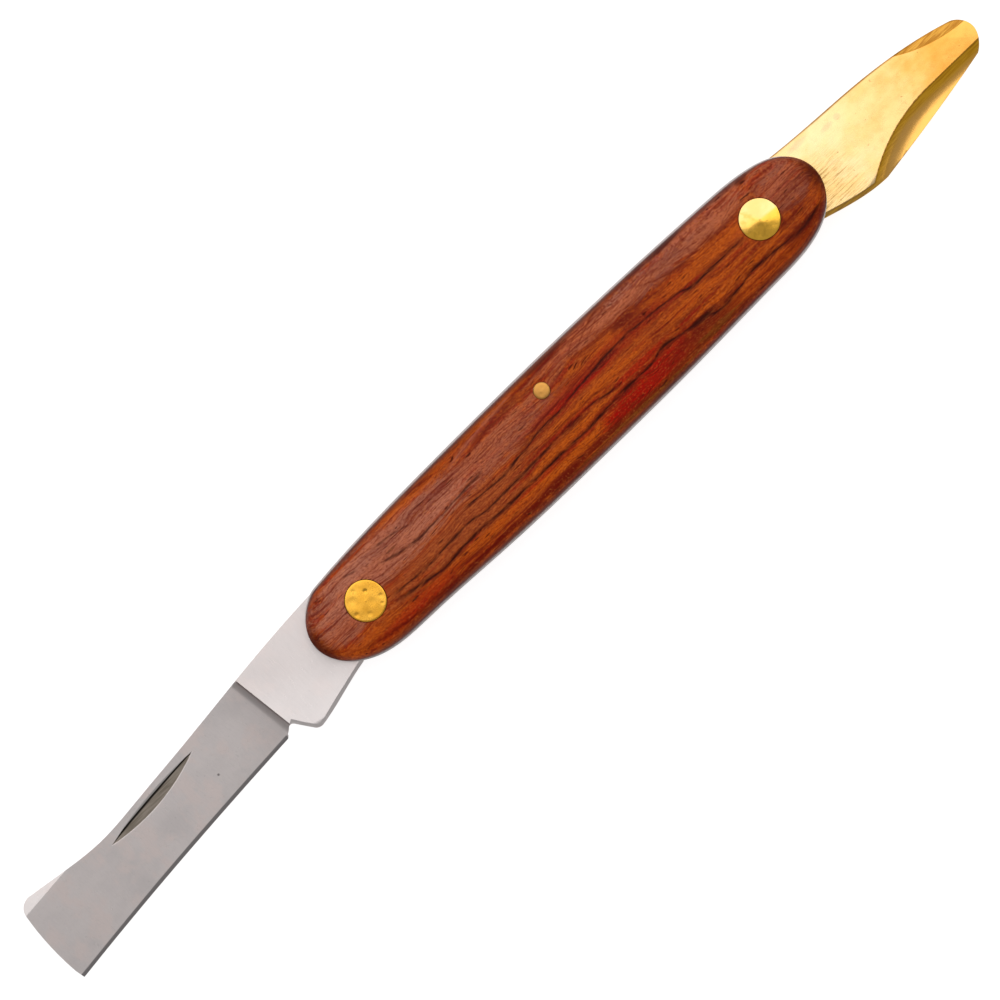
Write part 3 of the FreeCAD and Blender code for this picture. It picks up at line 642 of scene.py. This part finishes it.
# ---------------------------------------------------------------- mesh helpers
def make_object(name, vertices, faces):
    """A smooth-shaded object from points in millimetres."""
    mesh = bpy.data.meshes.new(name)
    mesh.from_pydata([Vector(v) * MM for v in vertices], [], faces)
    work = bmesh.new()
    work.from_mesh(mesh)
    bmesh.ops.remove_doubles(work, verts=work.verts, dist=1e-8)
    bmesh.ops.dissolve_degenerate(work, edges=work.edges, dist=1e-8)
    work.to_mesh(mesh)
    work.free()
    mesh.shade_smooth()
    mesh.set_sharp_from_angle(angle=math.radians(38))
    obj = bpy.data.objects.new(name, mesh)
    bpy.context.scene.collection.objects.link(obj)
    return obj


def turned(name, x, y, profile, segments=96, relief=None):
    """A turned shape about a vertical axis, from (radius, z) points between two poles.

    relief(dx, dy, z) gives how far a point is moved up.
    """
    vertices = [(x, y, profile[0][1])]
    for radius, z in profile[1:-1]:
        for k in range(segments):
            angle = 2 * math.pi * k / segments
            dx, dy = radius * math.cos(angle), radius * math.sin(angle)
            lift = relief(dx, dy, z) if relief else 0
            vertices.append((x + dx, y + dy, z + lift))
    vertices.append((x, y, profile[-1][1]))
    last = len(vertices) - 1
    rings = len(profile) - 2
    faces = []
    for k in range(segments):
        after = (k + 1) % segments
        faces.append((0, 1 + k, 1 + after))
        base = 1 + (rings - 1) * segments
        faces.append((last, base + after, base + k))
    for ring in range(rings - 1):
        here, there = 1 + ring * segments, 1 + (ring + 1) * segments
        for k in range(segments):
            after = (k + 1) % segments
            faces.append((here + k, there + k, there + after, here + after))
    return make_object(name, vertices, faces)


def cut_away(obj, cutters):
    """Cuts the cutters out of the object for good, and removes them."""
    for cutter in cutters:
        modifier = obj.modifiers.new("cut", "BOOLEAN")
        modifier.operation = "DIFFERENCE"
        modifier.solver = "EXACT"
        modifier.object = cutter
    graph = bpy.context.evaluated_depsgraph_get()
    mesh = bpy.data.meshes.new_from_object(obj.evaluated_get(graph))
    obj.modifiers.clear()
    obj.data = mesh
    mesh.shade_smooth()
    mesh.set_sharp_from_angle(angle=math.radians(38))
    for cutter in cutters:
        bpy.data.objects.remove(cutter)


def broken_edges(name, node, width, keep, crisp_below_x=-200.0):
    """A metal part with its sharp outer corners broken, as from filing and handling.

    keep(point in mm) says whether an edge there is rounded. On the front face, slight
    bends stay crisp below the given x.
    """
    work = bmesh.new()
    work.from_mesh(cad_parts[node].data)
    bmesh.ops.remove_doubles(work, verts=work.verts, dist=2e-7)
    bmesh.ops.dissolve_limit(work, angle_limit=math.radians(0.3), verts=work.verts,
                             edges=work.edges, use_dissolve_boundaries=False)
    bmesh.ops.dissolve_degenerate(work, edges=work.edges, dist=0.03 * MM)
    corners = []
    for edge in work.edges:
        middle = (edge.verts[0].co + edge.verts[1].co) / 2 / MM
        sharp = edge.is_convex and edge.calc_face_angle(0) > math.radians(28)
        if len(edge.link_faces) == 2 and sharp and keep(middle):
            corners.append(edge)
    bmesh.ops.bevel(work, geom=corners, offset=width * MM, offset_type="OFFSET", segments=2,
                    profile=0.5, affect="EDGES", clamp_overlap=True)
    bmesh.ops.triangulate(work, faces=[f for f in work.faces if len(f.verts) > 4])
    work.normal_update()
    for face in work.faces:
        face.smooth = True
    for edge in work.edges:
        level = all(face.normal.z > 0.8 for face in edge.link_faces)
        crisp = level and edge.verts[0].co.x < crisp_below_x * MM
        edge.smooth = edge.calc_face_angle(0) < math.radians(3.5 if crisp else 30)
    mesh = bpy.data.meshes.new(name)
    work.to_mesh(mesh)
    work.free()
    piece = bpy.data.objects.new(name, mesh)
    bpy.context.scene.collection.objects.link(piece)
    weights = piece.modifiers.new("even_shading", "WEIGHTED_NORMAL")
    weights.keep_sharp = True
    weights.weight = 80
    return piece


# ---------------------------------------------------------------- the two scales
CROWN_RADIUS = 42.0
CROWN_Y = -0.5
EDGE_ROUNDING = 1.9
REAR_FLAT = 0.35
HEAD_GAP = 0.05
SLIP = 0.02
RIM_STEPS = [0.0, 0.012, 0.05, 0.11, 0.2, 0.32, 0.48, 0.68, 0.92, 1.2, 1.52, 1.9]
STATION = 0.45
ROW = 0.27


def scale_outline(node):
    """The scale's outline as points in mm, in order round its middle."""
    points = set()
    low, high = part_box(node)
    liner_z = high.z if abs(high.z - middle_z) < abs(low.z - middle_z) else low.z
    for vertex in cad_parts[node].data.vertices:
        if abs(vertex.co.z - liner_z) < 0.01 * MM:
            points.add((round(vertex.co.x / MM, 3), round(vertex.co.y / MM, 3)))
    holes = [(x, y, 4.2) for x, y in PIVOTS] + [(PIN[0], PIN[1], 1.8)]
    outer = [p for p in points
             if all(math.hypot(p[0] - x, p[1] - y) > r for x, y, r in holes)]
    outer.sort(key=lambda p: math.atan2(p[1] - CROWN_Y, p[0]))
    smooth = []
    count = len(outer)
    for k in range(count):
        p0, p1, p2, p3 = (outer[(k + i) % count] for i in (-1, 0, 1, 2))
        for step in range(8):
            t = step / 8
            smooth.append(tuple(
                0.5 * (2 * b + (c - a) * t + (2 * a - 5 * b + 4 * c - d) * t * t
                       + (3 * b - a - 3 * c + d) * t ** 3)
                for a, b, c, d in zip(p0, p1, p2, p3)))
    return smooth


def outline_sides(outline):
    """Functions that give the outline's upper and lower y at a position along it."""
    left = min(range(len(outline)), key=lambda k: outline[k][0])
    right = max(range(len(outline)), key=lambda k: outline[k][0])
    ring = outline + outline

    def chain(start, end):
        end = end if end > start else end + len(outline)
        return sorted(ring[start:end + 1])

    def reader(points):
        def read(x):
            low, high = 0, len(points) - 1
            while high - low > 1:
                half = (low + high) // 2
                if points[half][0] <= x:
                    low = half
                else:
                    high = half
            (x0, y0), (x1, y1) = points[low], points[high]
            return y0 + (y1 - y0) * (x - x0) / max(1e-9, x1 - x0)
        return read

    return reader(chain(right, left)), reader(chain(left, right))


def stations(low, high, step):
    """Positions from low to high, close together near both ends."""
    inner = max(1, round((high - low - 2 * RIM_STEPS[-1]) / step))
    first, last = low + RIM_STEPS[-1], high - RIM_STEPS[-1]
    middle = [first + (last - first) * k / inner for k in range(1, inner)]
    return ([low + d for d in RIM_STEPS] + middle + [high - d for d in reversed(RIM_STEPS)])


def grain_relief(x, y, seed):
    """How far the worn surface stands above or below the crown, in mm."""
    lift = 0.012 * noise.noise(Vector((x * 0.12, y * 0.3, seed)))
    wander = 0.25 * noise.noise(Vector((x * 0.3, y * 0.6, seed + 7)))
    for points, half_width, _, strength in WOOD_LINES:
        if not points[0][0] < x < points[-1][0]:
            continue
        k = max(i for i, p in enumerate(points) if p[0] < x)
        (x0, y0), (x1, y1) = points[k], points[k + 1]
        centre = y0 + (y1 - y0) * (x - x0) / (x1 - x0)
        fade = min(1.0, (x - points[0][0]) / 2, (points[-1][0] - x) / 2)
        off = (y + wander - centre) / half_width
        lift -= 0.035 * strength * fade / (1 + off * off) ** 2
    pore = noise.noise(Vector((x * 0.5, y * 3.6, seed + 21)))
    if pore > 0.52:
        lift -= 0.25 * (pore - 0.52)
    return lift


def wooden_scale(name, node, out, seed):
    """A crowned, rounded and worn scale over one liner. out is 1 on the front, -1 behind."""
    low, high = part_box(node)
    seat_z = (low.z if out > 0 else high.z) / MM
    thickness = (high.z - low.z) / MM
    outline = scale_outline(node)
    tree = kdtree.KDTree(len(outline))
    for k, (x, y) in enumerate(outline):
        tree.insert((x, y, 0), k)
    tree.balance()
    upper, lower = outline_sides(outline)
    raised = 0 if out > 0 else REAR_FLAT

    def from_rim(x, y):
        """Distance to the outline, measured to the two sides that meet at its nearest point."""
        spot = Vector((x, y))
        k = tree.find((x, y, 0))[1]
        here = Vector(outline[k])
        nearest = EDGE_ROUNDING
        for neighbour in (outline[k - 1], outline[(k + 1) % len(outline)]):
            side = Vector(neighbour) - here
            share = min(1.0, max(0.0, (spot - here).dot(side) / side.length_squared))
            nearest = min(nearest, (spot - here - share * side).length)
        return nearest

    def height(x, y):
        crown = CROWN_RADIUS - math.sqrt(CROWN_RADIUS ** 2 - (y - CROWN_Y) ** 2)
        inside = from_rim(x, y)
        rounding = EDGE_ROUNDING - math.sqrt(
            max(0.0, EDGE_ROUNDING ** 2 - (EDGE_ROUNDING - inside) ** 2))
        top = min(thickness, thickness + raised - crown - rounding)
        return top + grain_relief(x * out, y, seed) - 0.004

    xs = stations(min(p[0] for p in outline), max(p[0] for p in outline), STATION)
    rows = len(stations(0, 17, ROW))
    vertices, faces = [], []
    for x in xs:
        y0, y1 = lower(x), upper(x)
        span = y1 - y0
        rim_share = min(1.0, span / 8)
        places = stations(0, 17, ROW)
        for k, place in enumerate(places):
            share = place / 17
            if span > 0.05:
                near = min(place, 17 - place)
                rim = near * rim_share
                plain = RIM_STEPS[-1] * rim_share
                if near < RIM_STEPS[-1]:
                    y = y0 + rim if place < 8.5 else y1 - rim
                else:
                    inner = (place - RIM_STEPS[-1]) / (17 - 2 * RIM_STEPS[-1])
                    y = y0 + plain + (span - 2 * plain) * inner
            else:
                y = y0 + span * share
            if 0 < k < len(places) - 1 and x not in (xs[0], xs[-1]):
                h = height(x, y)
            else:
                h = thickness + raised - EDGE_ROUNDING - (
                    CROWN_RADIUS - math.sqrt(CROWN_RADIUS ** 2 - (y - CROWN_Y) ** 2))
            vertices.append((x, y, seat_z + out * h))

    def at(i, k):
        return i * rows + k

    def turned_out(face):
        return face if out > 0 else face[::-1]

    count = len(xs)
    for i in range(count - 1):
        for k in range(rows - 1):
            faces.append(turned_out((at(i, k), at(i + 1, k), at(i + 1, k + 1), at(i, k + 1))))
    border = ([at(i, 0) for i in range(count)] + [at(count - 1, k) for k in range(1, rows)]
              + [at(i, rows - 1) for i in range(count - 2, -1, -1)]
              + [at(0, k) for k in range(rows - 2, 0, -1)])
    first_seat = len(vertices)
    for index in border:
        x, y, _ = vertices[index]
        vertices.append((x, y, seat_z))
    ring = len(border)
    for k in range(ring):
        after = (k + 1) % ring
        faces.append(turned_out((border[after], border[k], first_seat + k, first_seat + after)))
    faces.append(turned_out(tuple(range(first_seat + ring - 1, first_seat - 1, -1))))
    scale = make_object(name, vertices, faces)

    seat_depth = thickness - HEAD_THICKNESS - SLIP
    cutters = []
    for x, y in PIVOTS:
        steps = [(HEAD_RADIUS + HEAD_GAP, thickness + 2), (HEAD_RADIUS + HEAD_GAP, seat_depth),
                 (TUBE_RADIUS + SLIP, seat_depth), (TUBE_RADIUS + SLIP, -1)]
        profile = [(0, thickness + 2)] + steps + [(0, -1)]
        cutters.append((x, y, profile))
    cutters.append((*PIN, [(0, thickness + 2), (PIN_RADIUS + SLIP, thickness + 2),
                           (PIN_RADIUS + SLIP, -1), (0, -1)]))
    tools = []
    for x, y, profile in cutters:
        profile = [(r, seat_z + out * z) for r, z in profile]
        if out < 0:
            profile = profile[::-1]
        tools.append(turned("cutter", x, y, profile, 96))
    cut_away(scale, tools)
    return scale


# ---------------------------------------------------------------- rivets and pin
HEAD_THICKNESS = 0.95
TUBE_RADIUS = 1.7
SHANK_RADIUS = 1.0
HEAD_ROUNDING = 0.2
DOME_POWER = 1.35
HEAD_DENTS = [
    # (dx, dy, radius, depth) on the blade's rivet, in mm
    (0.95, 1.1, 0.42, 0.11), (-2.5, -0.6, 0.5, 0.03), (-0.9, -1.9, 0.55, 0.025),
    (-1.4, 1.4, 0.8, 0.02), (0.6, -0.8, 0.9, 0.015), (2.2, -1.0, 0.5, 0.03),
    (-0.4, 2.3, 0.5, 0.02), (1.6, -2.0, 0.35, 0.03),
]


def box_middle(node):
    low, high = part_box(node)
    return ((low.x + high.x) / 2 / MM, (low.y + high.y) / 2 / MM)


middle_z = (cad_low.z + cad_high.z) / 2
PIVOTS = [box_middle("blade_rivet_stud"), box_middle("lifter_rivet_stud")]
PIN = box_middle("spring_pin")
HEAD_RADIUS = (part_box("blade_rivet_stud")[1].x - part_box("blade_rivet_stud")[0].x) / 2 / MM
PIN_RADIUS = (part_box("spring_pin")[1].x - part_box("spring_pin")[0].x) / 2 / MM


def dented(dents, seed, roughness):
    """Relief for a hammered face: round dents and a slight unevenness."""
    def relief(dx, dy, z):
        lift = roughness * noise.noise(Vector((dx * 0.7, dy * 0.7, seed)))
        for x, y, radius, depth in dents:
            far = math.hypot(dx - x, dy - y) / radius
            if far < 1:
                lift -= depth * (1 - far * far) ** 2
        return lift
    return relief


def head_profile(face_z, dome, out):
    """A rivet head's (radius, z) points, from the middle of its face to its rim."""
    flat = HEAD_RADIUS - HEAD_ROUNDING
    points = [(0, face_z + out * dome)]
    for k in range(1, 25):
        radius = flat * k / 24
        points.append((radius, face_z + out * dome * (1 - (radius / flat) ** DOME_POWER)))
    for k in range(1, 5):
        angle = math.pi / 2 * k / 4
        points.append((flat + HEAD_ROUNDING * math.sin(angle),
                       face_z - out * HEAD_ROUNDING * (1 - math.cos(angle))))
    return points


def stud(name, node, dome, dents, seed):
    """The front half of a cutler's rivet, with its peened head."""
    low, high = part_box(node)
    x, y = box_middle(node)
    face = high.z / MM - dome - 0.005
    seat = face - HEAD_THICKNESS + 0.02
    hammered = dented(dents, seed, 0.018)

    def relief(dx, dy, z):
        return hammered(dx, dy, z) - 0.018 if z > face - 0.05 else 0

    profile = head_profile(face, dome, 1) + [
        (HEAD_RADIUS, seat), (SHANK_RADIUS, seat), (SHANK_RADIUS, low.z / MM),
        (0, low.z / MM)]
    return turned(name, x, y, profile, 128, relief)


def socket(name, node, seed):
    """The rear half: a flat head with the tube that the tool turns on."""
    low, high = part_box(node)
    x, y = box_middle(node)
    face = low.z / MM + 0.02
    seat = face + HEAD_THICKNESS - 0.02
    top = high.z / MM
    hammered = dented([(1.2, -0.7, 0.5, 0.03), (-1.0, 1.4, 0.7, 0.025)], seed, 0.015)

    def relief(dx, dy, z):
        return 0.012 - hammered(dx, dy, z) if z < face + 0.05 else 0

    profile = head_profile(face, 0.0, -1) + [
        (HEAD_RADIUS, seat), (TUBE_RADIUS, seat), (TUBE_RADIUS, top),
        (SHANK_RADIUS + SLIP, top), (SHANK_RADIUS + SLIP, seat - 0.05), (0, seat - 0.05)]
    return turned(name, x, y, profile[::-1], 128, relief)


def peened_pin(name, node):
    """The spring's pin, slightly domed and dented where it was peened."""
    low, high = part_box(node)
    x, y = box_middle(node)
    top, bottom = high.z / MM, low.z / MM
    ends = [(0, 0.0), (0.3, 0.005), (0.6, 0.012), (0.85, 0.025), (1.05, 0.045), (1.2, 0.08),
            (1.28, 0.13), (PIN_RADIUS, 0.2)]
    profile = [(r, top - d) for r, d in ends] + [(r, bottom + d) for r, d in reversed(ends)]
    hammered = dented([(0.35, 0.3, 0.4, 0.03), (-0.5, -0.35, 0.5, 0.025)], 4.2, 0.01)

    def relief(dx, dy, z):
        return hammered(dx, dy, z) - 0.012 if z > top - 0.1 else 0

    return turned(name, x, y, profile, 72, relief)


# ---------------------------------------------------------------- stage
def pale_floor():
    size = 3.0
    mesh = bpy.data.meshes.new("floor")
    corners = [(-size, -size, 0), (size, -size, 0), (size, size, 0), (-size, size, 0)]
    mesh.from_pydata(corners, [], [(0, 1, 2, 3)])
    floor = bpy.data.objects.new("floor", mesh)
    floor.location = (0, 0, cad_low.z - 0.02 * MM)
    bpy.context.scene.collection.objects.link(floor)
    s = Shader("floor_card")
    tone = s.noise(s.place(scale=(0.004, 0.004, 0.004)), 1.0, 2)
    s.set(Base_Color=s.mix(tone, (0.36, 0.36, 0.36, 1), (0.4, 0.4, 0.4, 1)), Roughness=0.9)
    s.set(Specular_IOR_Level=0.0, Emission_Color=(1, 1, 1, 1), Emission_Strength=0.85)
    paint(floor, s.material)


def softbox(name, direction, distance, size, power):
    """A rectangular light that faces the object's middle from the given direction."""
    data = bpy.data.lights.new(name, "AREA")
    data.shape = "RECTANGLE"
    data.size, data.size_y = size
    data.energy = power
    lamp = bpy.data.objects.new(name, data)
    bpy.context.scene.collection.objects.link(lamp)
    away = Vector(direction).normalized()
    lamp.location = (cad_low + cad_high) / 2 + distance * away
    lamp.rotation_mode = "QUATERNION"
    lamp.rotation_quaternion = away.to_track_quat("Z", "Y")


WORLD_STRENGTH = 0.42
CAMERA_HEIGHT = 1.1
FIELD_WIDTH = 152.4 * MM
CAMERA_OFFSET = (-2.65 * MM, -1.75 * MM)


def studio():
    """An even white surround and one large softbox."""
    world = bpy.data.worlds.new("studio")
    bpy.context.scene.world = world
    world.use_nodes = True
    world.node_tree.nodes["Background"].inputs["Color"].default_value = (1, 1, 1, 1)
    world.node_tree.nodes["Background"].inputs["Strength"].default_value = WORLD_STRENGTH
    softbox("spine_softbox", (0.27, 0.47, 1.0), 1.6, (2.4, 1.92), 19)
    bpy.context.scene.view_settings.view_transform = "Standard"


def camera():
    """Straight above the knife, turned so that it lies along the picture's diagonal."""
    data = bpy.data.cameras.new("camera")
    shot = bpy.data.objects.new("camera", data)
    bpy.context.scene.collection.objects.link(shot)
    middle = (cad_low + cad_high) / 2
    data.lens = data.sensor_width * (CAMERA_HEIGHT - middle.z) / FIELD_WIDTH
    data.clip_end = 10
    shot.location = (middle.x + CAMERA_OFFSET[0], middle.y + CAMERA_OFFSET[1], CAMERA_HEIGHT)
    shot.rotation_euler = (0, 0, -CAMERA_TURN)
    bpy.context.scene.camera = shot


CUTTING_EDGE_MARGIN = 1.0
GROUND_FACE_END_X = -64.6
NICK_X = (-97, -75)
NICK_Y = (-1.2, 2.25)
NICK_FRONT_Z = 5.4


def away_from_the_cutting_edge(point):
    """Whether a blade edge may be broken: not along the cutting edge or in the nail nick."""
    inward = ((point.x - EDGE_HEEL[0]) * EDGE_INWARD[0]
              + (point.y - EDGE_HEEL[1]) * EDGE_INWARD[1])
    in_nick = (NICK_X[0] < point.x < NICK_X[1] and NICK_Y[0] < point.y < NICK_Y[1]
               and point.z > NICK_FRONT_Z)
    beyond_edge = inward > CUTTING_EDGE_MARGIN or point.x > GROUND_FACE_END_X
    return beyond_edge and not in_nick


def add_piece(piece, node, material, body="handle"):
    """Hangs a piece on its body, in place of the CAD node that it shows."""
    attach(piece, body)
    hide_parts(node)
    paint(piece, material)


LINER_STEEL = (0.44, 0.4, 0.39, 1)
RIVET_BRASS = (0.8, 0.42, 0.055, 1)
RIVET_BRASS_DEEP = (0.68, 0.32, 0.03, 1)
PIN_BRASS = (0.62, 0.3, 0.07, 1)
PIN_BRASS_DEEP = (0.5, 0.24, 0.06, 1)
# how wide the outer corners are broken, and how far the rivet heads are domed, in mm
HANDLE_STEEL_BREAK = 0.07
BLADE_BREAK = 0.06
LIFTER_BREAK = 0.09
BLADE_HEAD_DOME = 0.04
LIFTER_HEAD_DOME = 0.3
BLADE_CRISP_BELOW_X = -66.0
LIFTER_HEAD_DENTS = [(-1.2, -1.6, 0.9, 0.02), (1.5, 0.3, 0.7, 0.015)]


def anywhere(point):
    return True


def finishes():
    """Every piece, with the node it replaces, its slot, its material and its body."""
    plate = steel("liner_steel", LINER_STEEL, 0.34)
    rivet_brass = brass("rivet_brass", RIVET_BRASS, RIVET_BRASS_DEEP, 0.25)
    pin_brass = brass("pin_brass", PIN_BRASS, PIN_BRASS_DEEP, 0.35)
    add_piece(wooden_scale("rosewood_front", "front_scale", 1, 3.0), "front_scale",
              rosewood("rosewood_front"))
    add_piece(wooden_scale("rosewood_rear", "rear_scale", -1, 11.0), "rear_scale",
              rosewood("rosewood_rear", flip=True))
    add_piece(stud("blade_rivet_front", "blade_rivet_stud", BLADE_HEAD_DOME, HEAD_DENTS, 1.0),
              "blade_rivet_stud", rivet_brass)
    add_piece(stud("lifter_rivet_front", "lifter_rivet_stud", LIFTER_HEAD_DOME,
                   LIFTER_HEAD_DENTS, 2.0),
              "lifter_rivet_stud", lifter_rivet_finish())
    add_piece(socket("blade_rivet_rear", "blade_rivet_socket", 5.0),
              "blade_rivet_socket", rivet_brass)
    add_piece(socket("lifter_rivet_rear", "lifter_rivet_socket", 6.0),
              "lifter_rivet_socket", rivet_brass)
    add_piece(peened_pin("peened_pin", "spring_pin"), "spring_pin", pin_brass)
    for node in ("front_liner", "rear_liner", "back_spring"):
        add_piece(broken_edges(node + "_filed", node, HANDLE_STEEL_BREAK, anywhere), node,
                  plate)
    add_piece(broken_edges("grafting_blade", "blade", BLADE_BREAK, away_from_the_cutting_edge,
                           crisp_below_x=BLADE_CRISP_BELOW_X),
              "blade", blade_finish(), "blade")
    add_piece(broken_edges("brass_bark_lifter", "bark_lifter", LIFTER_BREAK, anywhere),
              "bark_lifter", lifter_finish(), "bark_lifter")


pale_floor()
studio()
camera()
finishes()
